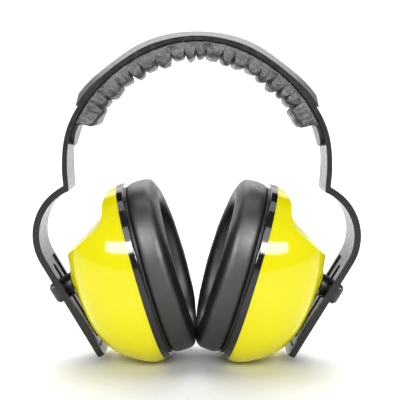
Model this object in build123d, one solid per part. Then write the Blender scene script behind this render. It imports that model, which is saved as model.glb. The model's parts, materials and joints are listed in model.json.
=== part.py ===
"""Earmuff hearing protector: a one-piece moulded headband with a padded crown, and two ear cups.

Each cup hangs on a ball stud that slides in a slot in the headband's arm.
Axes: +X to one ear, front towards -Y, +Z up. The +X side is modelled and the other is its mirror.
"""

from build123d import *
import math
import os

os.makedirs("parts", exist_ok=True)

# ---- Driving dimensions, in millimetres and degrees ----
BAND_WIDTH = 28.0
BAND_TOP_THICKNESS = 2.4
ARM_THICKNESS = 2.9
LOWER_ARM_THICKNESS = 3.7
# The strip's outer line (x, z), from the middle of the crown down the arm.
BAND_OUTER_LINE = [
    (0.0, 184.9),
    (31.0, 177.3),
    (49.0, 165.2),
    (63.0, 149.7),
    (70.3, 136.5),
    (73.6, 121.4),
    (73.9, 110.5),
]
BAND_END_DIRECTION = (-0.08, 0, -1)
NOTCH_X = 73.3
CROWN_LINE = [(0.0, 187.7), (32.0, 180.7), (49.5, 168.9), (65.4, 153.6)]
CROWN_END_DIRECTION = (0.6, 0, -0.8)
CROWN_SHOULDER = (65.9, 146.8)
# The crown slopes down to the front and to the back: the slope's width, and its drop.
CROWN_SLOPE = (8.0, 3.2)
CROWN_RIDGE_ROUND = 3.0
CROWN_END = 0.60

# The lower arm bulges out round the cup on this arc, then runs straight to its tip.
BULGE_CENTRE = (60.0, 75.6)
BULGE_RADIUS = 30.7
ARM_LEAN = 30.5
ARM_TIP = 32.8
ARM_CORNER_RADIUS = 3.0
CHANNEL_DEPTH = 0.9
CHANNEL_HALF_WIDTH = 11.0
CHANNEL_SPAN = (38.0, 95.0)
SLOT_WIDTH = 5.6
SLOT_SPAN = (41.7, 91.0)
PIN_HEIGHT = 75.6

CARRIER_THICKNESS = 1.0
CARRIER_HALF_WIDTH = 11.0
PAD_THICKNESS = 8.6
PAD_HALF_WIDTH = 14.4
PAD_END = 0.70
TONGUE_START = 0.71
TONGUE_END = 0.817
TONGUE_THICKNESS = 2.2
TONGUE_OVERLAP = 0.08
TONGUE_CORNER = 0.75
LAYER_GAP = 0.1

CUP_TILT = 16.0
CUP_CENTRE = (31.0, 53.8)
OVAL_POWER = 2.25
OVAL_POINTS = 28
CUP_WALL = 2.4
# Cross-sections of the cup, outwards from its rim: depth, top, bottom and half width.
CUP_SECTIONS = [
    (0.0, 50.5, -51.5, 40.0),
    (10.0, 49.0, -50.8, 39.2),
    (21.0, 45.0, -44.6, 35.4),
    (30.0, 38.0, -35.4, 28.6),
    (35.4, 29.0, -22.0, 19.5),
    (37.4, 19.0, -8.0, 10.5),
    (37.9, 9.5, 1.5, 3.2),
]
# A scoop takes the cup's top corner off: a slanted ledge, then a curved face up to the rim.
# These are lines of (depth, up). The ledge is arched from front to back about its ridge.
LEDGE_LINE = [(36.3, 22.2), (10.8, 35.0)]
BROW_LINE = [(10.8, 35.0), (9.2, 42.0), (7.5, 46.8), (4.6, 49.6), (0.5, 51.3)]
LEDGE_ROUND = 10.0
RIDGE_LINE = [(37.1, 22.2), (13.7, 36.4)]
RIDGE_RADIUS = 80.0
BOSS_RADIUS = 7.0
BOSS_DEPTH = 39.2
BOSS_ROUND = 0.7
INNER_PAD_RADIUS = 12.5
INNER_PAD_DEPTH = 32.0

BALL_RADIUS = 4.6
BALL_DEPTH = 31.2
RUNNING_GAP = 0.1
BUSHING_WALL = 1.4
BUSHING_MOUTH = 40.0
BUSHING_REACH = 3.6
RETAINER_WALL = 1.6
RETAINER_FLANGE = 2.4
RETAINER_INSET = 0.5
SCREW_COUNT = 3
SCREW_CIRCLE = 10.1
SCREW_RADIUS = 1.05
SCREW_HEAD_RADIUS = 1.9
SCREW_HEAD_HEIGHT = 1.5
SCREW_HEAD_ROUND = 0.6
# The cross recess in a screw's head: length, width and depth.
SCREW_RECESS = (2.4, 0.6, 0.8)
SCREW_DEPTH = 35.8
SCREW_END_GAP = 0.5
SCREW_HOLE_GAP = 0.03
SCREW_PASS_GAP = 0.1
NECK_RADIUS = 2.4
NECK_CLEARANCE = 0.9
MOUTH_FLARE = 1.5
MOUTH_LENGTH = 12.0
COLLAR_RADIUS = 6.3
COLLAR_ROUND = 0.6
COLLAR_GAP = 0.6
WASHER_THICKNESS = 0.5
WASHER_INSET = 0.4
SLIDER_LENGTH = 8.0
SIDE_GAP = 0.15
KNOB_SIZE = 12.0
KNOB_HEIGHT = 5.6
KNOB_CORNER = 2.6
KNOB_CHAMFER = 1.5
STUD_IN_KNOB = 3.6
STUD_END_GAP = 0.2
BORE_GAP = 0.05

RING_THICKNESS = 3.8
RING_PROUD = 0.4
RING_ROUND = 0.8
# Ovals are given as top, bottom and half width.
RING_HOLE = (38.0, -39.0, 26.0)
SPIGOT_LENGTH = 3.0
SPIGOT_GAP = 1.3
SPIGOT_WALL = 1.6
PLATE_THICKNESS = 0.9
PLATE_INSET = 2.6
PLATE_HOLE_GAP = 1.5
CUSHION_FRONT = -20.6
CUSHION_OUTLINE = (49.6, -49.6, 38.6)
CUSHION_HOLE = (35.5, -36.0, 22.5)
CUSHION_ROUND = 6.0
SKIN_THICKNESS = 0.9
PARTING = 1.6
LINER_GAP = 0.4
LINER_THICKNESS = 7.0
LINER_START = 9.0
LINER_TRIM = 5.0
LINER_PAD_GAP = 1.0

# A length past everything, how far a cut or a join runs past its face, and a tiny length.
FAR = 80.0
CUT_MARGIN = 1.0
TINY = 0.01

# ---- Directions: along and out of the arm's straight run, and up and out of the cup ----
lean = math.radians(ARM_LEAN)
ARM_UP = Vector(math.sin(lean), 0, math.cos(lean))
ARM_OUT = Vector(math.cos(lean), 0, -math.sin(lean))
ARM_OUTER_FACE = Vector(BULGE_CENTRE[0], 0, BULGE_CENTRE[1]).dot(ARM_OUT) + BULGE_RADIUS
ARM_INNER_FACE = ARM_OUTER_FACE - LOWER_ARM_THICKNESS
CHANNEL_FLOOR = ARM_INNER_FACE + CHANNEL_DEPTH

tilt = math.radians(CUP_TILT)
CUP_OUT = Vector(math.cos(tilt), 0, -math.sin(tilt))
CUP_UP = Vector(math.sin(tilt), 0, math.cos(tilt))
RIM_CENTRE = Vector(CUP_CENTRE[0], 0, CUP_CENTRE[1])


def arm_plane(height, out):
    """A plane facing out of the arm, its local y up the arm."""
    return Plane(ARM_UP * height + ARM_OUT * out, x_dir=(0, 1, 0), z_dir=ARM_OUT)


def cup_point(depth, up):
    """A point in the middle plane, from its depth out of the rim and its height up the cup."""
    return RIM_CENTRE + CUP_OUT * depth + CUP_UP * up


def cup_plane(depth, up=0.0):
    """A plane parallel to the cup's rim, its local y up the cup."""
    return Plane(cup_point(depth, up), x_dir=(0, 1, 0), z_dir=CUP_OUT)


# The ball's centre lies on the pin's axis, at its depth inside the cup.
pin_foot = ARM_UP * PIN_HEIGHT
BALL_OUT = (BALL_DEPTH - (pin_foot - RIM_CENTRE).dot(CUP_OUT)) / ARM_OUT.dot(CUP_OUT)
BALL = pin_foot + ARM_OUT * BALL_OUT
BALL_UP = (BALL - RIM_CENTRE).dot(CUP_UP)


def flat_point(pair):
    """A point in the middle plane from (x, z)."""
    return Vector(pair[0], 0, pair[1])


def closed_face(*edges):
    return make_face(Wire(list(edges)))


def both_ways(face, half_width):
    """A face in the middle plane, extruded to the front and to the back."""
    return extrude(face, amount=half_width, dir=(0, 1, 0), both=True)


# ---- Headband ----
bulge = flat_point(BULGE_CENTRE)
notch_rise = math.sqrt(BULGE_RADIUS**2 - (NOTCH_X - BULGE_CENTRE[0]) ** 2)
NOTCH = Vector(NOTCH_X, 0, BULGE_CENTRE[1] + notch_rise)
outer_line = Spline(
    [flat_point(pair) for pair in BAND_OUTER_LINE] + [NOTCH],
    tangents=[(1, 0, 0), BAND_END_DIRECTION],
)


def inside(fraction, thickness):
    """A point a thickness inside the strip's outer line, a fraction of the way down it."""
    along = outer_line.tangent_at(fraction)
    return outer_line.position_at(fraction) + Vector(along.Z, 0, -along.X) * thickness


def inner_line(thickness, end, start=0.0, steps=9):
    """A line inside the strip's outer line, between two fractions of its length."""
    fractions = [start + (end - start) * step / steps for step in range(steps + 1)]
    return Spline([inside(fraction, thickness(fraction)) for fraction in fractions])


def strip_thickness(fraction):
    return BAND_TOP_THICKNESS + (ARM_THICKNESS - BAND_TOP_THICKNESS) * fraction


def layer(depth, thickness, end, start=0.0):
    """A face that follows the strip's inside, between two fractions of its length."""

    def near(fraction):
        return strip_thickness(fraction) + depth

    def far(fraction):
        return near(fraction) + thickness

    top, bottom = inner_line(near, end, start), inner_line(far, end, start)
    return closed_face(
        top,
        Line(top @ 1, bottom @ 1),
        bottom,
        Line(bottom @ 0, top @ 0),
    )


def bulge_point(radius, degrees_up):
    angle = math.radians(degrees_up)
    return bulge + Vector(math.cos(angle), 0, math.sin(angle)) * radius


def angle_at(x, radius):
    """The bulge's angle, above the level, where its circle of this radius has this x."""
    return math.degrees(math.acos((x - BULGE_CENTRE[0]) / radius))


def bulge_arc(radius, start):
    """The arm's arc, from a start angle down to the straight run."""
    middle = (start - ARM_LEAN) / 2
    return ThreePointArc(
        bulge_point(radius, start),
        bulge_point(radius, middle),
        bulge_point(radius, -ARM_LEAN),
    )


def strip():
    """One half of the strip and its arm."""
    inner = inner_line(strip_thickness, 1.0)
    inner_radius = BULGE_RADIUS - LOWER_ARM_THICKNESS
    outer_arc = bulge_arc(BULGE_RADIUS, angle_at(NOTCH_X, BULGE_RADIUS))
    inner_arc = bulge_arc(inner_radius, angle_at((inner @ 1).X, inner_radius))
    outer_tip = ARM_UP * ARM_TIP + ARM_OUT * ARM_OUTER_FACE
    inner_tip = ARM_UP * ARM_TIP + ARM_OUT * ARM_INNER_FACE
    face = closed_face(
        outer_line,
        outer_arc,
        Line(outer_arc @ 1, outer_tip),
        Line(outer_tip, inner_tip),
        Line(inner_tip, inner_arc @ 1),
        inner_arc,
        Line(inner_arc @ 0, inner @ 1),
        inner,
        Line(inner @ 0, outer_line @ 0),
    )
    body = both_ways(face, BAND_WIDTH / 2)
    corners = [
        edge
        for edge in body.edges()
        if abs(abs(edge.center().Y) - BAND_WIDTH / 2) < TINY
        and abs(edge.center().dot(ARM_UP) - ARM_TIP) < TINY
    ]
    return fillet(corners, ARM_CORNER_RADIUS)


def is_long(edge):
    """Whether an edge runs the length of the crown."""
    return edge.length > CROWN_SHOULDER[0]


def crown():
    """One half of the raised crown, with sloping front and back, which ends in a shoulder."""
    half_width = BAND_WIDTH / 2
    top = Spline(
        [flat_point(pair) for pair in CROWN_LINE],
        tangents=[(1, 0, 0), CROWN_END_DIRECTION],
    )
    shoulder = flat_point(CROWN_SHOULDER)
    buried = inner_line(lambda fraction: BAND_TOP_THICKNESS / 2, CROWN_END)
    face = closed_face(
        top,
        Line(top @ 1, shoulder),
        Line(shoulder, buried @ 1),
        buried,
        Line(buried @ 0, top @ 0),
    )
    body = extrude(Pos(0, -half_width, 0) * face, amount=BAND_WIDTH, dir=(0, 1, 0))
    long_edges = body.edges().filter_by(is_long).sort_by(Axis.Z)[-2:]
    top_face = body.faces().sort_by(SortBy.AREA)[-1]
    body = chamfer(long_edges, *CROWN_SLOPE, reference=top_face)
    ridges = [edge for edge in body.edges() if is_long(edge) and abs(edge.center().Y) < half_width - TINY]
    return fillet(ridges, CROWN_RIDGE_ROUND)


def headband():
    half = strip() + crown()
    channel_length = CHANNEL_SPAN[1] - CHANNEL_SPAN[0]
    channel_middle = (CHANNEL_SPAN[1] + CHANNEL_SPAN[0]) / 2
    channel = Rectangle(2 * CHANNEL_HALF_WIDTH, channel_length)
    channel_cut = CHANNEL_DEPTH + CUT_MARGIN
    half -= extrude(arm_plane(channel_middle, CHANNEL_FLOOR) * channel, amount=-channel_cut)
    slot_length = SLOT_SPAN[1] - SLOT_SPAN[0]
    slot_middle = (SLOT_SPAN[1] + SLOT_SPAN[0]) / 2
    slot = SlotOverall(slot_length, SLOT_WIDTH, rotation=90)
    slot_cut = LOWER_ARM_THICKNESS + 2 * CUT_MARGIN
    half -= extrude(arm_plane(slot_middle, ARM_INNER_FACE - CUT_MARGIN) * slot, amount=slot_cut)
    return half + mirror(half, about=Plane.YZ)


def head_pad_carrier():
    """The pad's thin strip, whose rounded tongues lie on the arms."""
    sheet = layer(LAYER_GAP, CARRIER_THICKNESS, TONGUE_END - TONGUE_OVERLAP)
    tongue = layer(LAYER_GAP, TONGUE_THICKNESS, TONGUE_END, TONGUE_START)
    flap = both_ways(tongue, CARRIER_HALF_WIDTH)
    corners = flap.edges().filter_by(lambda edge: edge.length < 2 * TONGUE_THICKNESS)
    flap = fillet(corners.sort_by(Axis.Z)[:2], CARRIER_HALF_WIDTH * TONGUE_CORNER)
    half = both_ways(sheet, CARRIER_HALF_WIDTH) + flap
    return half + mirror(half, about=Plane.YZ)


def head_pad():
    """The soft pad's overall shape."""
    depth = 2 * LAYER_GAP + CARRIER_THICKNESS
    half = both_ways(layer(depth, PAD_THICKNESS, PAD_END), PAD_HALF_WIDTH)
    return half + mirror(half, about=Plane.YZ)


# ---- Cup ----
def oval(depth, top, bottom, half_width):
    """A flat-sided oval face parallel to the cup's rim."""
    plane = cup_plane(depth, (top + bottom) / 2)
    half_height = (top - bottom) / 2
    points = []
    for step in range(OVAL_POINTS):
        angle = 2 * math.pi * step / OVAL_POINTS
        across, up = math.cos(angle), math.sin(angle)
        across = math.copysign(abs(across) ** (2 / OVAL_POWER), across)
        up = math.copysign(abs(up) ** (2 / OVAL_POWER), up)
        points.append(plane.from_local_coords(Vector(half_width * across, half_height * up, 0)))
    return make_face(Wire([Spline(points, periodic=True)]))


def oval_prism(size, start, end):
    """A straight-sided oval block between two depths."""
    return extrude(oval(start, *size), amount=end - start, dir=CUP_OUT)


def shrunk(sections, inset):
    """The sections moved inwards by an inset, down to the last that is wider than it."""
    return [
        (depth - inset, top - inset, bottom + inset, half_width - inset)
        for depth, top, bottom, half_width in sections
        if half_width > inset + CUT_MARGIN
    ]


def ledge_arch(inset):
    """A long bar whose rounded top is the ledge's arch, moved inwards by an inset."""
    deep, root = (cup_point(depth - inset, up - inset) for depth, up in RIDGE_LINE)
    along = (deep - root).normalized()
    above = Vector(-along.Z, 0, along.X)
    middle = (deep + root) / 2 - above * RIDGE_RADIUS
    plane = Plane(middle - along * FAR, x_dir=(0, 1, 0), z_dir=along)
    return extrude(plane * Circle(RIDGE_RADIUS), amount=2 * FAR)


def scoop(inset):
    """The block that cuts the ledge and the brow, moved inwards by an inset."""
    deep, root = (cup_point(*pair) for pair in LEDGE_LINE)
    down = (deep - root).normalized()
    outwards = Vector(-down.Z, 0, down.X)
    if outwards.dot(CUP_UP) < 0:
        outwards = -outwards
    brow = Spline([cup_point(depth - inset, up - inset) for depth, up in BROW_LINE])
    start = brow @ 0
    far_deep = start + down * FAR
    face = closed_face(
        brow,
        Line(brow @ 1, far_deep + outwards * 2 * FAR),
        Line(far_deep + outwards * 2 * FAR, far_deep),
        Line(far_deep, start),
    )
    block = both_ways(face, FAR)
    root_edge = block.edges().filter_by(Axis.Y).sort_by(lambda edge: (edge.center() - start).length)[0]
    return fillet([root_edge], LEDGE_ROUND) - ledge_arch(inset)


def cup_form(inset=0.0):
    """The cup's filled shape: a deep dome with the scoop taken off its top."""
    return loft([oval(*size) for size in shrunk(CUP_SECTIONS, inset)]) - scoop(inset)


def boss(radius, start, end):
    """A round block about the ball's centre, between two depths in the cup."""
    return extrude(cup_plane(start, BALL_UP) * Circle(radius), amount=end - start)


def ball(radius):
    return arm_plane(PIN_HEIGHT, BALL_OUT).location * Sphere(radius)


SEAT_RADIUS = BALL_RADIUS + BUSHING_WALL + 2 * RUNNING_GAP
STANDING = (Align.CENTER, Align.CENTER, Align.MIN)


def neck_mouth():
    """The flared hole that the ball stud's neck moves in."""
    narrow = NECK_RADIUS + NECK_CLEARANCE
    mouth = Cone(narrow, narrow + MOUTH_FLARE, MOUTH_LENGTH, align=STANDING)
    return arm_plane(PIN_HEIGHT, BALL_OUT).location * mouth


def screw_places(depth):
    """A plane at each retainer screw."""
    for index in range(SCREW_COUNT):
        angle = math.radians(90 + 360 * index / SCREW_COUNT)
        across, up = SCREW_CIRCLE * math.cos(angle), SCREW_CIRCLE * math.sin(angle)
        place = cup_plane(depth, BALL_UP)
        yield Plane(place.from_local_coords(Vector(across, up, 0)), (0, 1, 0), CUP_OUT)


def outer_boss():
    """The low round boss that the ball stud comes out of."""
    body = boss(BOSS_RADIUS, INNER_PAD_DEPTH, BOSS_DEPTH)
    outer_end = body.faces().sort_by(lambda face: face.center().dot(CUP_OUT))[-1]
    return fillet(outer_end.edges(), BOSS_ROUND)


def cup_shell():
    outside = cup_form()
    hollow = cup_form(CUP_WALL) - boss(INNER_PAD_RADIUS, INNER_PAD_DEPTH, FAR)
    shell = outside + outer_boss() - hollow - (ball(SEAT_RADIUS) + neck_mouth())
    hole_start = INNER_PAD_DEPTH - CUT_MARGIN
    for place in screw_places(hole_start):
        shell -= extrude(place * Circle(SCREW_RADIUS + SCREW_HOLE_GAP), amount=SCREW_DEPTH - hole_start)
    return shell


def ball_retainer():
    """The cap that holds the ball from inside the cup."""
    hub_radius = SEAT_RADIUS + RETAINER_WALL
    low = BALL_DEPTH - SEAT_RADIUS - RETAINER_WALL
    flange = INNER_PAD_DEPTH - RETAINER_FLANGE
    cap = boss(hub_radius, low, INNER_PAD_DEPTH)
    cap += boss(INNER_PAD_RADIUS - RETAINER_INSET, flange, INNER_PAD_DEPTH)
    cap -= ball(SEAT_RADIUS)
    hole_length = RETAINER_FLANGE + 2 * CUT_MARGIN
    for place in screw_places(flange - CUT_MARGIN):
        cap -= extrude(place * Circle(SCREW_RADIUS + SCREW_PASS_GAP), amount=hole_length)
    return cap


def retainer_screws():
    """Three pan-head screws, with a cross recess in each head."""
    head_start = INNER_PAD_DEPTH - RETAINER_FLANGE - SCREW_HEAD_HEIGHT
    shank_length = SCREW_DEPTH - SCREW_END_GAP - head_start
    recess_length, recess_width, recess_depth = SCREW_RECESS
    screws = []
    for place in screw_places(head_start):
        head = extrude(place * Circle(SCREW_HEAD_RADIUS), amount=SCREW_HEAD_HEIGHT)
        rim = head.edges().sort_by(lambda edge: edge.center().dot(CUP_OUT))[0]
        screw = fillet(rim, SCREW_HEAD_ROUND)
        screw += extrude(place * Circle(SCREW_RADIUS), amount=shank_length)
        for turn in (0, 90):
            bar = Rectangle(recess_length, recess_width, rotation=turn)
            screw -= extrude(place * bar, amount=recess_depth)
        screws.append(screw)
    return Compound(children=screws)


def ball_bushing():
    """The ring between ball and seat, round outside and inside, open towards the neck."""
    inner = BALL_RADIUS + RUNNING_GAP
    ring = ball(inner + BUSHING_WALL) - ball(inner)
    mouth_radius = FAR * math.tan(math.radians(BUSHING_MOUTH))
    place = arm_plane(PIN_HEIGHT, BALL_OUT).location
    ring -= place * Cone(TINY, mouth_radius, FAR, align=STANDING)
    below = arm_plane(PIN_HEIGHT, BALL_OUT - BUSHING_REACH)
    return ring - extrude(below * Circle(FAR / 4), amount=-FAR / 4)


# ---- The carriage in the arm's slot ----
def pin_block(shape, start, end):
    """A shape about the pin's axis, between two distances out of the arm."""
    return extrude(arm_plane(PIN_HEIGHT, start) * shape, amount=end - start)


WASHER_TOP = CHANNEL_FLOOR - RUNNING_GAP
WASHER_BOTTOM = WASHER_TOP - WASHER_THICKNESS
KNOB_BOTTOM = ARM_OUTER_FACE + RUNNING_GAP
STUD_END = KNOB_BOTTOM + STUD_IN_KNOB
BORE = Circle(NECK_RADIUS + BORE_GAP)


def ball_stud():
    """The ball, its neck and the shank that carries the other pieces."""
    return ball(BALL_RADIUS) + pin_block(Circle(NECK_RADIUS), BALL_OUT, STUD_END)


def collar():
    """The round spacer, cut at its inner end parallel to the cup."""
    body = pin_block(Circle(COLLAR_RADIUS), BALL_OUT, WASHER_BOTTOM)
    outer_end = body.faces().sort_by(lambda face: face.center().dot(ARM_OUT))[-1]
    body = fillet(outer_end.edges(), COLLAR_ROUND)
    body -= pin_block(BORE, BALL_OUT, WASHER_BOTTOM)
    return body - boss(FAR / 2, BALL_DEPTH - FAR / 4, BOSS_DEPTH + COLLAR_GAP)


def friction_washer():
    ring = Circle(COLLAR_RADIUS - WASHER_INSET) - BORE
    return pin_block(ring, WASHER_BOTTOM, WASHER_TOP)


def slot_slider():
    """The block that slides in the arm's slot."""
    block = SlotOverall(SLIDER_LENGTH, SLOT_WIDTH - 2 * SIDE_GAP, rotation=90) - BORE
    return pin_block(block, WASHER_TOP, KNOB_BOTTOM)


def adjuster_knob():
    """The chamfered square head outside the arm."""
    outline = RectangleRounded(KNOB_SIZE, KNOB_SIZE, KNOB_CORNER)
    head = pin_block(outline, KNOB_BOTTOM, KNOB_BOTTOM + KNOB_HEIGHT)
    top = head.faces().sort_by(lambda face: face.center().dot(ARM_OUT))[-1]
    head = chamfer(top.edges(), KNOB_CHAMFER)
    return head - pin_block(BORE, KNOB_BOTTOM, STUD_END + STUD_END_GAP)


# ---- Ring, cushion and foam ----
RIM = CUP_SECTIONS[0][1:]
CUSHION_BACK = -RING_THICKNESS - PLATE_THICKNESS


def grown(size, amount):
    top, bottom, half_width = size
    return (top + amount, bottom - amount, half_width + amount)


def rim_ring():
    """The seat ring on the cup's rim, with a spigot that enters the cup."""
    ring = oval_prism(grown(RIM, RING_PROUD), -RING_THICKNESS, 0)
    edges = ring.edges().sort_by(lambda edge: edge.center().dot(CUP_OUT))
    ring = fillet(edges[:1], RING_ROUND)
    spigot_size = grown(RIM, -CUP_WALL - SPIGOT_GAP)
    ring += oval_prism(spigot_size, -CUT_MARGIN, SPIGOT_LENGTH)
    ring -= oval_prism(grown(spigot_size, -SPIGOT_WALL), 0, SPIGOT_LENGTH + CUT_MARGIN)
    return ring - oval_prism(RING_HOLE, -RING_THICKNESS - CUT_MARGIN, CUT_MARGIN)


def cushion_plate():
    """The flat ring that the cushion is welded to."""
    plate = oval_prism(grown(RIM, -PLATE_INSET), CUSHION_BACK, -RING_THICKNESS)
    hole = grown(CUSHION_HOLE, PLATE_HOLE_GAP)
    return plate - oval_prism(hole, CUSHION_BACK - CUT_MARGIN, CUT_MARGIN - RING_THICKNESS)


def cushion_form(inset, back):
    """The cushion's filled ring, rounded at the front, and flat where the two cushions meet."""
    front = CUSHION_FRONT + inset
    outside = oval_prism(grown(CUSHION_OUTLINE, -inset), front, back)
    edge = outside.edges().sort_by(lambda edge: edge.center().dot(CUP_OUT))[0]
    outside = fillet([edge], CUSHION_ROUND - inset)
    ring = outside - oval_prism(grown(CUSHION_HOLE, inset), front - CUT_MARGIN, back + CUT_MARGIN)
    beyond = Pos(PARTING + inset - FAR, 0, 0) * Box(2 * FAR, 4 * FAR, 4 * FAR)
    return ring - beyond


def cushion_skin():
    return cushion_form(0, CUSHION_BACK) - cushion_form(SKIN_THICKNESS, CUSHION_BACK + CUT_MARGIN)


def cushion_foam():
    return cushion_form(SKIN_THICKNESS, CUSHION_BACK)


def foam_liner():
    """The sound-damping foam against the inside of the cup."""
    gap = CUP_WALL + LINER_GAP
    liner = cup_form(gap) - cup_form(gap + LINER_THICKNESS)
    liner -= oval_prism(grown(RIM, LINER_TRIM), -FAR / 4, LINER_START)
    return liner - boss(INNER_PAD_RADIUS + LINER_PAD_GAP, 0, FAR / 2)


# ---- Write every node ----
CENTRE_PIECES = [headband, head_pad_carrier, head_pad]
SIDE_PIECES = [
    cup_shell,
    ball_retainer,
    retainer_screws,
    ball_bushing,
    ball_stud,
    collar,
    friction_washer,
    slot_slider,
    adjuster_knob,
    rim_ring,
    cushion_plate,
    cushion_skin,
    cushion_foam,
    foam_liner,
]

pieces = {make.__name__: make() for make in CENTRE_PIECES}
for make in SIDE_PIECES:
    piece = make()
    pieces["right_" + make.__name__] = piece
    pieces["left_" + make.__name__] = mirror(piece, about=Plane.YZ)

# The lowest point of the cups stands at z = 0.
lowest = min(piece.bounding_box().min.Z for piece in pieces.values())
for name, piece in pieces.items():
    export_step(Pos(0, 0, -lowest) * piece, f"parts/{name}.step")
print("ball centre", BALL - Vector(0, 0, lowest))
print("arm direction", ARM_UP, "outwards", ARM_OUT)
print("lowest", lowest)
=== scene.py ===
"""Looks for the earmuff hearing protector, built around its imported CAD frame. Lengths are in metres."""

import json
import math

import bmesh
import bpy
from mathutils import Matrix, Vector, noise
from mathutils.bvhtree import BVHTree


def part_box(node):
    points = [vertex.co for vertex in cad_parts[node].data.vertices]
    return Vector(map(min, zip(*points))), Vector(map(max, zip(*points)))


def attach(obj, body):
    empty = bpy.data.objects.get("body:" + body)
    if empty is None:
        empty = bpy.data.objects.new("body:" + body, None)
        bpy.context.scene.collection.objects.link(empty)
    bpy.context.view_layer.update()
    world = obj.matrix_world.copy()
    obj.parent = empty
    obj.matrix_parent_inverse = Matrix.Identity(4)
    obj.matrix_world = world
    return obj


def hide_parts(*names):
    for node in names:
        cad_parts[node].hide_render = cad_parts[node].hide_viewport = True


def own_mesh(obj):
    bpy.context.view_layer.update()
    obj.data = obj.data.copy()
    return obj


MM = 0.001
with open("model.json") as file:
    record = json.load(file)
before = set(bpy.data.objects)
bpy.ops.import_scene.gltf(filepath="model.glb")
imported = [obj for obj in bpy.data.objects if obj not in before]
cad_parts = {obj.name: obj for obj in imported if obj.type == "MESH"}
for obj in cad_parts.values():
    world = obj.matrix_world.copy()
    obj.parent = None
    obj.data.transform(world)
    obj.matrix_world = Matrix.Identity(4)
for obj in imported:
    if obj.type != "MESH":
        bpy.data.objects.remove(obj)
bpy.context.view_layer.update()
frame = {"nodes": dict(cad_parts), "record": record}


def add_object(name, data):
    """A new object in the scene."""
    piece = bpy.data.objects.new(name, data)
    bpy.context.scene.collection.objects.link(piece)
    return piece


def smooth_faces(mesh):
    mesh.polygons.foreach_set("use_smooth", [True] * len(mesh.polygons))


def ripple(point, layers):
    """A smooth, fixed unevenness at a place, in metres. Each layer is the number of features in a
    metre, and their height in millimetres."""
    return sum(noise.noise(point * scale) * height * MM for scale, height in layers)


# ---- Camera, stage and light ----
CAMERA_LENS = 78.7
CAMERA_PLACE = Vector((1.7, -490.0, 154.2)) * MM
CAMERA_TARGET = Vector((1.7, 0.0, 92.2)) * MM
CAMERA_ROLL = math.radians(0.25)
CAMERA_CLIP = (0.01, 50)
# The floor's half width, where it starts in front and where it bends up into the wall.
STAGE_HALF_WIDTH = 4.0
STAGE_FRONT = -3.0
STAGE_BEND = 1.2
STAGE_BEND_RADIUS = 0.8
STAGE_BEND_STEPS = 16
STAGE_WALL_TOP = 3.0
WORLD_STRENGTH = 0.24
OBJECT_MIDDLE = (0, 0, 0.09)
# Each softbox's place, what it faces, its size, and its power in watts.
SOFTBOXES = {
    "front_softbox": ((0.0, -1.6, 1.1), OBJECT_MIDDLE, (1.4, 0.9), 16),
    "top_softbox": ((0.0, 0.2, 1.5), OBJECT_MIDDLE, (1.6, 1.2), 15),
    "back_softbox": ((0.0, 1.15, 1.2), (0, 0, 0.15), (1.8, 1.0), 9),
    "wall_light": ((0.0, 0.9, 2.4), (0, 2.0, 0.5), (2.5, 0.6), 40),
}
# A strip on each side shows only in gloss, as the long highlight down a cup.
STRIP_PLACE = (0.52, -1.0, 0.46)
STRIP_SIZE = (0.62, 0.24)
STRIP_POWER = 11


def make_camera():
    data = bpy.data.cameras.new("camera")
    data.lens = CAMERA_LENS
    data.clip_start, data.clip_end = CAMERA_CLIP
    camera = add_object("camera", data)
    aim = (CAMERA_TARGET - CAMERA_PLACE).to_track_quat("-Z", "Y")
    camera.location = CAMERA_PLACE
    camera.rotation_mode = "QUATERNION"
    camera.rotation_quaternion = aim
    camera.rotation_mode = "XYZ"
    camera.rotation_euler.rotate_axis("Z", CAMERA_ROLL)
    bpy.context.scene.camera = camera


def make_stage():
    """A pale floor that curves up behind the object into a wall."""
    profile = [(STAGE_FRONT, 0.0), (STAGE_BEND, 0.0)]
    for step in range(1, STAGE_BEND_STEPS + 1):
        angle = math.pi / 2 * step / STAGE_BEND_STEPS
        back = STAGE_BEND + STAGE_BEND_RADIUS * math.sin(angle)
        profile.append((back, STAGE_BEND_RADIUS * (1 - math.cos(angle))))
    profile.append((STAGE_BEND + STAGE_BEND_RADIUS, STAGE_WALL_TOP))
    vertices = [(side * STAGE_HALF_WIDTH, y, z) for y, z in profile for side in (-1, 1)]
    faces = [(2 * i, 2 * i + 1, 2 * i + 3, 2 * i + 2) for i in range(len(profile) - 1)]
    mesh = bpy.data.meshes.new("stage")
    mesh.from_pydata(vertices, [], faces)
    smooth_faces(mesh)
    stage = add_object("stage", mesh)
    material, shader, _ = new_material("stage_white")
    shader.inputs["Base Color"].default_value = (0.96, 0.96, 0.96, 1)
    shader.inputs["Roughness"].default_value = 0.9
    shader.inputs["Specular IOR Level"].default_value = 0.1
    mesh.materials.append(material)


def area_light(name, place, target, size, power, gloss_only=False):
    data = bpy.data.lights.new(name, "AREA")
    data.shape = "RECTANGLE"
    data.size, data.size_y = size
    data.energy = power
    light = add_object(name, data)
    light.location = place
    aim = Vector(target) - Vector(place)
    light.rotation_euler = aim.to_track_quat("-Z", "Y").to_euler()
    light.visible_diffuse = not gloss_only


def make_lights():
    scene = bpy.context.scene
    scene.view_settings.view_transform = "Standard"
    world = bpy.data.worlds.new("studio")
    world.use_nodes = True
    background = world.node_tree.nodes["Background"]
    background.inputs["Color"].default_value = (1, 1, 1, 1)
    background.inputs["Strength"].default_value = WORLD_STRENGTH
    scene.world = world
    out, front, up = STRIP_PLACE
    for side in (-1, 1):
        place = (side * out, front, up)
        area_light("strip_softbox", place, OBJECT_MIDDLE, STRIP_SIZE, STRIP_POWER, gloss_only=True)
    for name, (place, target, size, power) in SOFTBOXES.items():
        area_light(name, place, target, size, power)


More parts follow.
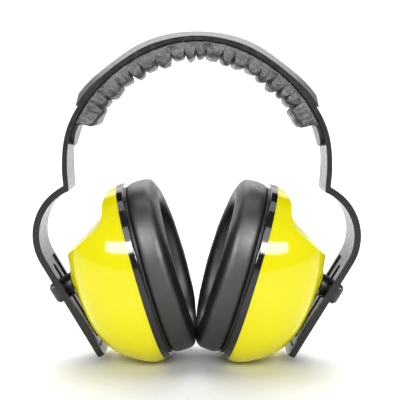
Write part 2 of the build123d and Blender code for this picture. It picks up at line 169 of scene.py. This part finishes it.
# ---- Materials ----
def new_material(name):
    material = bpy.data.materials.new(name)
    material.use_nodes = True
    tree = material.node_tree
    tree.nodes.clear()
    output = tree.nodes.new("ShaderNodeOutputMaterial")
    shader = tree.nodes.new("ShaderNodeBsdfPrincipled")
    tree.links.new(shader.outputs["BSDF"], output.inputs["Surface"])
    return material, shader, tree


def noise_node(tree, scale, detail=2.0, roughness=0.5):
    """A noise texture in the object's own metres: scale is the number of features in a metre."""
    place = tree.nodes.new("ShaderNodeTexCoord")
    texture = tree.nodes.new("ShaderNodeTexNoise")
    texture.inputs["Scale"].default_value = scale
    texture.inputs["Detail"].default_value = detail
    texture.inputs["Roughness"].default_value = roughness
    tree.links.new(place.outputs["Object"], texture.inputs["Vector"])
    return texture.outputs["Fac"]


def remap(tree, value, low, high, start=0.3, end=0.7):
    """A value between start and end, stretched to lie from low to high."""
    node = tree.nodes.new("ShaderNodeMapRange")
    node.inputs["From Min"].default_value = start
    node.inputs["From Max"].default_value = end
    node.inputs["To Min"].default_value = low
    node.inputs["To Max"].default_value = high
    tree.links.new(value, node.inputs["Value"])
    return node.outputs["Result"]


def colour_between(tree, value, first, second, start=0.35, end=0.65):
    """A colour that goes from the first to the second as the value goes from start to end."""
    node = tree.nodes.new("ShaderNodeValToRGB")
    node.color_ramp.elements[0].position = start
    node.color_ramp.elements[0].color = (*first, 1)
    node.color_ramp.elements[1].position = end
    node.color_ramp.elements[1].color = (*second, 1)
    tree.links.new(value, node.inputs["Fac"])
    return node.outputs["Color"]


def add_bump(tree, shader, layers):
    """Bump from layers of (height, depth in metres), each on top of the last."""
    normal = None
    for height, depth in layers:
        node = tree.nodes.new("ShaderNodeBump")
        node.inputs["Distance"].default_value = depth
        node.inputs["Strength"].default_value = 1.0
        tree.links.new(height, node.inputs["Height"])
        if normal:
            tree.links.new(normal, node.inputs["Normal"])
        normal = node.outputs["Normal"]
    tree.links.new(normal, shader.inputs["Normal"])


def grained(name, shades, rough, grain, wave_depth=0.0, level=0.5):
    """A moulded or skinned surface: two shades, uneven gloss, slow waves, and a fine grain with
    a size and a depth in metres."""
    material, shader, tree = new_material(name)
    grain_size, grain_depth = grain
    slow = noise_node(tree, scale=90, detail=3)
    fine = noise_node(tree, scale=1 / grain_size, detail=3, roughness=0.6)
    tree.links.new(colour_between(tree, slow, *shades), shader.inputs["Base Color"])
    patches = noise_node(tree, scale=350, detail=4)
    tree.links.new(remap(tree, patches, *rough), shader.inputs["Roughness"])
    shader.inputs["Specular IOR Level"].default_value = level
    layers = [(fine, grain_depth)]
    if wave_depth:
        layers.insert(0, (noise_node(tree, scale=120, detail=2), wave_depth))
    add_bump(tree, shader, layers)
    return material


def yellow_plastic():
    """Polished ABS, with the faint unevenness of a moulding."""
    material, shader, tree = new_material("yellow_abs")
    slow = noise_node(tree, scale=45, detail=2)
    colour = colour_between(tree, slow, (0.86, 0.785, 0.002), (0.885, 0.81, 0.003))
    tree.links.new(colour, shader.inputs["Base Color"])
    patches = noise_node(tree, scale=240, detail=4)
    tree.links.new(remap(tree, patches, low=0.06, high=0.10), shader.inputs["Roughness"])
    shader.inputs["IOR"].default_value = 1.5
    shader.inputs["Specular IOR Level"].default_value = 0.38
    flow = (noise_node(tree, scale=55, detail=1), 0.00012)
    polish = (noise_node(tree, scale=1500, detail=2), 0.000002)
    add_bump(tree, shader, [flow, polish])
    return material


def pad_vinyl():
    """The head pad's wrinkled, leathery skin: black, with a mottle of painted sheen in bluish grey where
    it is also glossier.
    """
    material, shader, tree = new_material("pad_vinyl")
    sheen_mottle = noise_node(tree, scale=330, detail=6, roughness=0.74)
    # The bluish-grey shade is painted sheen, laid in patches over the black skin; the same patches are
    # made glossier.
    dark, light = (0.003, 0.0034, 0.004), (0.06, 0.069, 0.084)
    shade = colour_between(tree, sheen_mottle, dark, light, start=0.42, end=0.64)
    tree.links.new(shade, shader.inputs["Base Color"])
    tree.links.new(remap(tree, sheen_mottle, low=0.48, high=0.22), shader.inputs["Roughness"])
    shader.inputs["Specular IOR Level"].default_value = 0.7
    wrinkles = (noise_node(tree, scale=260, detail=4, roughness=0.6), 0.0012)
    pores = (noise_node(tree, scale=1100, detail=3, roughness=0.6), 0.0003)
    add_bump(tree, shader, [wrinkles, pores])
    return material


def foam(name, dark, light, cell_size):
    """Open-cell foam: rough, with small pits."""
    material, shader, tree = new_material(name)
    cells = tree.nodes.new("ShaderNodeTexVoronoi")
    cells.inputs["Scale"].default_value = 1 / cell_size
    place = tree.nodes.new("ShaderNodeTexCoord")
    tree.links.new(place.outputs["Object"], cells.inputs["Vector"])
    shade = colour_between(tree, cells.outputs["Distance"], light, dark, start=0.1, end=0.7)
    tree.links.new(shade, shader.inputs["Base Color"])
    shader.inputs["Roughness"].default_value = 0.95
    shader.inputs["Specular IOR Level"].default_value = 0.2
    pits = (cells.outputs["Distance"], 0.0006)
    add_bump(tree, shader, [pits])
    return material


def screw_metal():
    """Zinc-plated steel, faintly mottled."""
    material, shader, tree = new_material("zinc_steel")
    slow = noise_node(tree, scale=900, detail=3)
    colour = colour_between(tree, slow, (0.5, 0.5, 0.5), (0.68, 0.68, 0.66))
    tree.links.new(colour, shader.inputs["Base Color"])
    tree.links.new(remap(tree, slow, low=0.25, high=0.45), shader.inputs["Roughness"])
    shader.inputs["Metallic"].default_value = 1.0
    grain = (noise_node(tree, scale=4000, detail=2), 0.00001)
    add_bump(tree, shader, [grain])
    return material


def make_materials():
    return {
        "band": grained(
            "black_band",
            shades=((0.0055, 0.0062, 0.0066), (0.009, 0.0102, 0.0108)),
            rough=(0.2, 0.3),
            grain=(0.00035, 0.00001),
            wave_depth=0.00005,
            level=0.4,
        ),
        "carrier": grained(
            "carrier_grey",
            shades=((0.009, 0.010, 0.011), (0.016, 0.0175, 0.02)),
            rough=(0.28, 0.4),
            grain=(0.0004, 0.00003),
            wave_depth=0.0001,
            level=0.4,
        ),
        "collar": grained(
            "black_collar",
            shades=((0.006, 0.0066, 0.007), (0.01, 0.011, 0.0115)),
            rough=(0.28, 0.4),
            grain=(0.0004, 0.00002),
            level=0.4,
        ),
        "knob": grained(
            "knob_grey",
            shades=((0.014, 0.0165, 0.021), (0.024, 0.0275, 0.034)),
            rough=(0.28, 0.4),
            grain=(0.0004, 0.00002),
        ),
        "ring": grained(
            "ring_black",
            shades=((0.0045, 0.0047, 0.0045), (0.007, 0.0073, 0.007)),
            rough=(0.05, 0.09),
            grain=(0.0006, 0.000003),
            wave_depth=0.00002,
            level=0.55,
        ),
        "cushion": grained(
            "cushion_pvc",
            shades=((0.006, 0.0066, 0.0064), (0.0105, 0.0115, 0.011)),
            rough=(0.36, 0.44),
            grain=(0.0005, 0.00005),
            wave_depth=0.0001,
            level=0.75,
        ),
        "inner_black": grained(
            "inner_black",
            shades=((0.012, 0.012, 0.012), (0.02, 0.02, 0.02)),
            rough=(0.3, 0.45),
            grain=(0.0005, 0.00002),
        ),
        "natural": grained(
            "natural_acetal",
            shades=((0.62, 0.61, 0.56), (0.72, 0.71, 0.66)),
            rough=(0.25, 0.35),
            grain=(0.0005, 0.00001),
        ),
        "yellow": yellow_plastic(),
        "pad": pad_vinyl(),
        "cushion_foam": foam(
            "cushion_foam", dark=(0.35, 0.32, 0.2), light=(0.62, 0.58, 0.42), cell_size=0.0011
        ),
        "liner_foam": foam(
            "liner_foam", dark=(0.012, 0.012, 0.013), light=(0.04, 0.04, 0.043), cell_size=0.0012
        ),
        "steel": screw_metal(),
    }


NODE_MATERIALS = {
    "headband": "band",
    "head_pad_carrier": "carrier",
    "head_pad": "pad",
    "cup_shell": "yellow",
    "ball_retainer": "inner_black",
    "retainer_screws": "steel",
    "ball_bushing": "natural",
    "ball_stud": "inner_black",
    "collar": "collar",
    "friction_washer": "collar",
    "slot_slider": "collar",
    "adjuster_knob": "knob",
    "rim_ring": "ring",
    "cushion_plate": "inner_black",
    "cushion_skin": "cushion",
    "cushion_foam": "cushion_foam",
    "foam_liner": "liner_foam",
}
# An edge of a CAD node that turns by more than this stays sharp.
SMOOTH_ANGLE = math.radians(32)


def dress_nodes(materials):
    """A material and smooth shading for every CAD node."""
    for name, node in frame["nodes"].items():
        kind = name.removeprefix("left_").removeprefix("right_")
        node.data.materials.clear()
        node.data.materials.append(materials[NODE_MATERIALS[kind]])
        smooth_faces(node.data)
        node.data.set_sharp_from_angle(angle=SMOOTH_ANGLE)
        node.data.update()


# ---- Helpers for swept pieces ----
def surface_of(node):
    """A search tree of a CAD node's surface, to find where it lies."""
    mesh = frame["nodes"][node].data
    return BVHTree.FromPolygons([v.co for v in mesh.vertices], [p.vertices for p in mesh.polygons])


def smooth_through(points, samples):
    """A closed run of 2-D points, rounded through the given ones."""
    count = len(points)
    result = []
    for step in range(samples):
        at = step / samples * count
        index, share = int(at), at - int(at)
        p0, p1, p2, p3 = (Vector(points[(index + shift) % count]) for shift in (-1, 0, 1, 2))
        a = 2 * p1
        b = p2 - p0
        c = 2 * p0 - 5 * p1 + 4 * p2 - p3
        d = -p0 + 3 * p1 - 3 * p2 + p3
        result.append((a + b * share + c * share**2 + d * share**3) / 2)
    return result


def skin_mesh(name, rings, closed):
    """A tube through rings of points. A closed one joins its last ring to its first."""
    size = len(rings[0])
    vertices = [point for ring in rings for point in ring]
    faces = []
    spans = len(rings) if closed else len(rings) - 1
    for i in range(spans):
        j = (i + 1) % len(rings)
        for k in range(size):
            m = (k + 1) % size
            faces.append((i * size + k, i * size + m, j * size + m, j * size + k))
    if not closed:
        faces.append(tuple(range(size - 1, -1, -1)))
        faces.append(tuple((len(rings) - 1) * size + k for k in range(size)))
    mesh = bpy.data.meshes.new(name)
    mesh.from_pydata(vertices, [], faces)
    mesh.update()
    piece = add_object(name, mesh)
    face_outwards(mesh)
    smooth_faces(mesh)
    return piece


def face_outwards(mesh):
    edit = bmesh.new()
    edit.from_mesh(mesh)
    bmesh.ops.recalc_face_normals(edit, faces=edit.faces)
    edit.to_mesh(mesh)
    edit.free()
    mesh.update()


# ---- Ear cushions ----
# A cushion's section, round from the back of its hole: the side it is measured from, how far
# off that side, and its depth from the cup's rim, in millimetres. The face stands out most
# near the hole's lip, and slopes back to a round shoulder at the outside.
CUSHION_SECTION = [
    ("hole", 1.2, -4.75),
    ("hole", 0.0, -7.0),
    ("hole", -0.6, -12.0),
    ("hole", 0.0, -17.0),
    ("hole", 1.6, -20.1),
    ("hole", 4.2, -21.5),
    ("hole", 7.4, -21.3),
    ("outside", -4.6, -20.2),
    ("outside", -2.0, -19.0),
    ("outside", -0.6, -17.3),
    ("outside", 0.0, -14.6),
    ("outside", 0.1, -9.5),
    ("outside", -0.5, -6.6),
    ("outside", -1.7, -5.2),
    ("outside", -3.4, -4.75),
]
# Steps round the ear, and points round the section.
CUSHION_TURNS = 200
CUSHION_SAMPLES = 80
CUSHION_CORE_INSET = 1.0 * MM
# The section's points beyond this depth, in millimetres, are its front, which lies back in the core.
CUSHION_FRONT = -12
# How far the cushion's back lies from the cup's rim, and the depth, in millimetres, at which
# the CAD cushion's hole and outside are measured.
CUSHION_BACK = 4.7 * MM
CUSHION_PROBE_DEPTH = 10
# Each cushion is eased to a stop this far from the face where the two meet. That face waves in
# and out, with so many waves in a metre from front to back and upwards.
MEETING_PLANE = 0.12 * MM
MEETING_SOFTNESS = 0.3 * MM
MEETING_WAVE = 1.6 * MM
MEETING_WAVES_BACK, MEETING_WAVES_UP = 70, 45
MEETING_SEED = 0.3
# The soft front swells unevenly, and stands fuller at the sides, most of all towards the back.
# This sets in at a depth, and is whole after a further distance.
SWELL = [(60, 0.45), (260, 0.08)]
FULLER_BACK = 1.75 * MM
FULLER_SIDES = 0.75 * MM
SOFT_START = 6 * MM
SOFT_SPAN = 12 * MM
# A value this many softnesses above its floor is left as it is.
EASED_WITHIN = 6


def cup_axes(side):
    """The middle of a cushion's back, and the cup's directions up and outwards."""
    mount = next(m for m in frame["record"]["mounts"] if m["name"] == f"{side}_sealing_face")
    outwards = -Vector(mount["axis"])
    up = Vector((0, 1, 0)).cross(outwards)
    up = up if up.z > 0 else -up
    skin = frame["nodes"][f"{side}_cushion_skin"].data.vertices
    heights = [vertex.co.dot(up) for vertex in skin]
    depths = [vertex.co.dot(outwards) for vertex in skin]
    centre = up * (min(heights) + max(heights)) / 2 + outwards * (max(depths) + CUSHION_BACK)
    return centre, up, outwards


def ring_reach(tree, centre, direction):
    """How far a ray across a ring goes to its hole's wall, and to its outside."""
    far = 0.2
    inner = tree.ray_cast(centre, direction)[0]
    outer = tree.ray_cast(centre + direction * far, -direction)[0]
    return (inner - centre).length, (outer - centre).length


def soft_floor(value, floor, softness):
    """The value, eased so that it stays above a floor."""
    if value > floor + EASED_WITHIN * softness:
        return value
    return floor + softness * math.log1p(math.exp((value - floor) / softness))


def cushion_section(hole, outside, inset):
    """The section's points, as distances from the middle of the hole and depths."""
    section = []
    for edge, off, depth in CUSHION_SECTION:
        inwards = inset if edge == "hole" else -inset
        radius = (hole if edge == "hole" else outside) + off * MM + inwards
        section.append((radius, depth * MM + (inset if depth < CUSHION_FRONT else 0)))
    return section


def pressed(point, sign, inset):
    """The point, eased back to its own side of the face where the two cushions meet."""
    place = Vector((MEETING_SEED, point.y * MEETING_WAVES_BACK, point.z * MEETING_WAVES_UP))
    wave = MEETING_WAVE * noise.noise(place)
    off_wave = soft_floor(sign * (point.x - wave), MEETING_PLANE + inset, MEETING_SOFTNESS)
    return Vector((sign * off_wave + wave, point.y, point.z))


def cushion_piece(side, name, inset, samples):
    """A plump ring round the ear, pressed flat where the two cushions meet."""
    sign = 1 if side == "right" else -1
    centre, up, outwards = cup_axes(side)
    tree = surface_of(f"{side}_cushion_skin")
    across = Vector((0, 1, 0))
    probe = centre - outwards * CUSHION_PROBE_DEPTH * MM
    rings = []
    for turn in range(CUSHION_TURNS):
        angle = 2 * math.pi * turn / CUSHION_TURNS
        direction = across * math.cos(angle) + up * math.sin(angle)
        section = cushion_section(*ring_reach(tree, probe, direction), inset)
        ring = []
        for radius, depth in smooth_through(section, samples):
            share = min(1.0, max(0.0, (-depth - SOFT_START) / SOFT_SPAN))
            fuller = FULLER_BACK * direction.y + FULLER_SIDES * direction.y**2
            point = centre + direction * radius + outwards * (depth - fuller * share)
            swell = ripple(point, SWELL)
            point += (direction - outwards).normalized() * swell * share
            ring.append(pressed(point, sign, inset))
        rings.append(ring)
    return skin_mesh(name, rings, closed=True)


def fit_cushion(piece, side, replaced):
    """Puts a cushion piece on its cup."""
    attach(piece, f"{side}_cup")
    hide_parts(f"{side}_{replaced}")
    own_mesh(piece)


def make_cushions(materials):
    for side in ("right", "left"):
        skin = cushion_piece(side, f"{side}_ear_cushion", 0.0, CUSHION_SAMPLES)
        skin.data.materials.append(materials["cushion"])
        fit_cushion(skin, side, "cushion_skin")
        core = cushion_piece(side, f"{side}_cushion_core", CUSHION_CORE_INSET, CUSHION_SAMPLES // 2)
        core.data.materials.append(materials["cushion_foam"])
        fit_cushion(core, side, "cushion_foam")


# ---- Head pad ----
# Steps along the pad, and points round its section.
PAD_STEPS = 560
PAD_AROUND = 56
PAD_LOBES = 17
# The share of the pad's length that is plain at each end.
PAD_PLAIN_END = 0.075
PAD_LOBE_DEPTH = 9.3 * MM
PAD_GROOVE_DEPTH = 3.7 * MM
# How much the lobes' widths, their depths and the grooves' depths vary, each way, as shares.
LOBE_WIDTH_SPREAD = 0.3
LOBE_DEPTH_SPREAD = 0.09
GROOVE_DEPTH_SPREAD = 0.38
WIDTH_SEED, DEPTH_SEED, GROOVE_SEED = 1, 2, 3
# The power of a lobe's bulge: the plain ends are squarer, and thinner at their far edge.
LOBE_POWER = 3.0
PLAIN_END_POWER = 8.0
PLAIN_END_EDGE = 0.8
# No share of the pad's length is looked up closer than this to an end.
PAD_TIP = 0.00001
# How round the section's corners are, at the carrier and at the face on the head.
CARRIER_CORNER = 0.22
FACE_CORNER = 0.42
# The pad's edges lap up round the carrier, and its face is pulled in at the grooves.
PAD_WRAP = 1.3 * MM
PAD_WRAP_START = 0.8
PAD_WRAP_SPAN = 0.08
PAD_GAP = 0.15 * MM
PAD_PULLED_IN = 0.06
# The creases wander along the pad, by a share of its length. The numbers after that set how
# fast they do so across and along the pad, and where in the noise they are read.
CREASE_WANDER = 0.012
CREASE_ACROSS, CREASE_ALONG, CREASE_SEED = 1.1, 7.0, 4.0
# The skin crumples from this share of the depth down to the face.
CRUMPLE = [(170, 1.2), (480, 0.4)]
CRUMPLE_START = 0.2
# The height, on the middle line, from which the carrier's inner face is found, and how much
# height counts, against distance from the middle, in finding the pad's end.
PAD_PROBE_HEIGHT = 0.118
PAD_END_HEIGHT_COUNTS = 0.15
# Fixed unevenness: the steps in the noise for each index and seed, its start, and its gain.
UNEVEN_INDEX_STEP, UNEVEN_SEED_STEP = 1.37, 3.3
UNEVEN_START = (0.51, 0.2, 0.7)
UNEVEN_GAIN = 2.2


def uneven(index, seed):
    """A fixed number between -1 and 1 for each index."""
    x, y, z = UNEVEN_START
    place = Vector((index * UNEVEN_INDEX_STEP + x, seed * UNEVEN_SEED_STEP + y, z))
    return max(-1.0, min(1.0, UNEVEN_GAIN * noise.noise(place)))


def lobe_bounds():
    """Where the pad's creases lie, as shares of its length."""
    widths = [1 + LOBE_WIDTH_SPREAD * uneven(index, WIDTH_SEED) for index in range(PAD_LOBES)]
    scale = (1 - 2 * PAD_PLAIN_END) / sum(widths)
    bounds = [PAD_PLAIN_END]
    for width in widths:
        bounds.append(bounds[-1] + width * scale)
    return [0.0] + bounds + [1.0]


def lobe_height(bounds, share):
    """The pad's thickness at a share of its length: rounded lobes between narrow creases."""
    share = min(1 - PAD_TIP, max(PAD_TIP, share))
    last = len(bounds) - 2
    index = next(i for i in range(last + 1) if share < bounds[i + 1])
    start, end = bounds[index], bounds[index + 1]
    at = (share - start) / (end - start)
    top = PAD_LOBE_DEPTH * (1 + LOBE_DEPTH_SPREAD * uneven(index, DEPTH_SEED))
    near, far = (
        PAD_GROOVE_DEPTH * (1 + GROOVE_DEPTH_SPREAD * uneven(index + shift, GROOVE_SEED))
        for shift in (0, 1)
    )
    if index == 0:
        near = top * PLAIN_END_EDGE
    if index == last:
        far = top * PLAIN_END_EDGE
    groove = near + (far - near) * at
    power = LOBE_POWER if index not in (0, last) else PLAIN_END_POWER
    bulge = (1 - abs(2 * at - 1) ** power) ** 0.5
    return groove + (top - groove) * bulge


def pad_section(turn):
    """A rounded box, square at its top: how far across, and how deep, from 0 to 1."""
    across, deep = math.cos(turn), math.sin(turn)
    corner = CARRIER_CORNER if deep > 0 else FACE_CORNER
    across = math.copysign(abs(across) ** corner, across)
    deep = (1 - math.copysign(abs(deep) ** corner, deep)) / 2
    return across, deep


def pad_piece():
    """The corrugated pad, swept along the carrier's inner face."""
    tree = surface_of("head_pad_carrier")
    half_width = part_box("head_pad")[1].y
    places = [vertex.co for vertex in frame["nodes"]["head_pad"].data.vertices]
    end = max(places, key=lambda place: place.x + place.z * PAD_END_HEIGHT_COUNTS)
    limit = math.atan2(end.x, end.z - PAD_PROBE_HEIGHT)
    start = Vector((0, 0, PAD_PROBE_HEIGHT))
    bounds = lobe_bounds()
    rings = []
    for step in range(PAD_STEPS + 1):
        share = step / PAD_STEPS
        angle = limit * (2 * share - 1)
        direction = Vector((math.sin(angle), 0, math.cos(angle)))
        top = tree.ray_cast(start, direction)[0]
        ring = []
        for k in range(PAD_AROUND):
            across, deep = pad_section(2 * math.pi * (k + 0.5) / PAD_AROUND)
            place = Vector((across * CREASE_ACROSS, share * CREASE_ALONG, CREASE_SEED))
            bulk = lobe_height(bounds, share + CREASE_WANDER * noise.noise(place))
            outer_edge = min(1.0, max(0.0, (abs(across) - PAD_WRAP_START) / PAD_WRAP_SPAN))
            wrap = PAD_WRAP * outer_edge * (1 - deep)
            point = top + direction * (wrap - PAD_GAP - deep * bulk)
            squeeze = 1 - PAD_PULLED_IN * (1 - bulk / PAD_LOBE_DEPTH) * deep
            point.y = across * half_width * squeeze
            if deep > CRUMPLE_START:
                outwards = (Vector((0, 1, 0)) * across - direction * deep).normalized()
                point += outwards * ripple(point, CRUMPLE)
            ring.append(point)
        rings.append(ring)
    return skin_mesh("corrugated_head_pad", rings, closed=False)


def make_head_pad(materials):
    pad = pad_piece()
    pad.data.materials.append(materials["pad"])
    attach(pad, "headband")
    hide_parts("head_pad")


# ---- Foam inside the cups ----
LINER_VOXEL = 1.3 * MM
# The foam is sunk by this much and by its lumps, so that it stays inside the CAD liner's shape.
LINER_SINK = 0.35 * MM
LINER_LUMPS = [(210, 0.6)]


def make_liners(materials):
    """Lumpy acoustic foam, from the CAD liner's own shape."""
    for side in ("right", "left"):
        source = frame["nodes"][f"{side}_foam_liner"]
        piece = add_object(f"{side}_acoustic_foam", source.data.copy())
        remesh = piece.modifiers.new("remesh", "REMESH")
        remesh.mode = "VOXEL"
        remesh.voxel_size = LINER_VOXEL
        bpy.context.view_layer.update()
        graph = bpy.context.evaluated_depsgraph_get()
        shaped = bpy.data.meshes.new_from_object(piece.evaluated_get(graph))
        piece.modifiers.clear()
        piece.data = shaped
        for vertex in shaped.vertices:
            vertex.co -= vertex.normal * (LINER_SINK + abs(ripple(vertex.co, LINER_LUMPS)))
        smooth_faces(shaped)
        shaped.materials.clear()
        shaped.materials.append(materials["liner_foam"])
        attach(piece, f"{side}_cup")
        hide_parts(f"{side}_foam_liner")


make_camera()
make_stage()
make_lights()
materials = make_materials()
dress_nodes(materials)
make_cushions(materials)
make_head_pad(materials)
make_liners(materials)
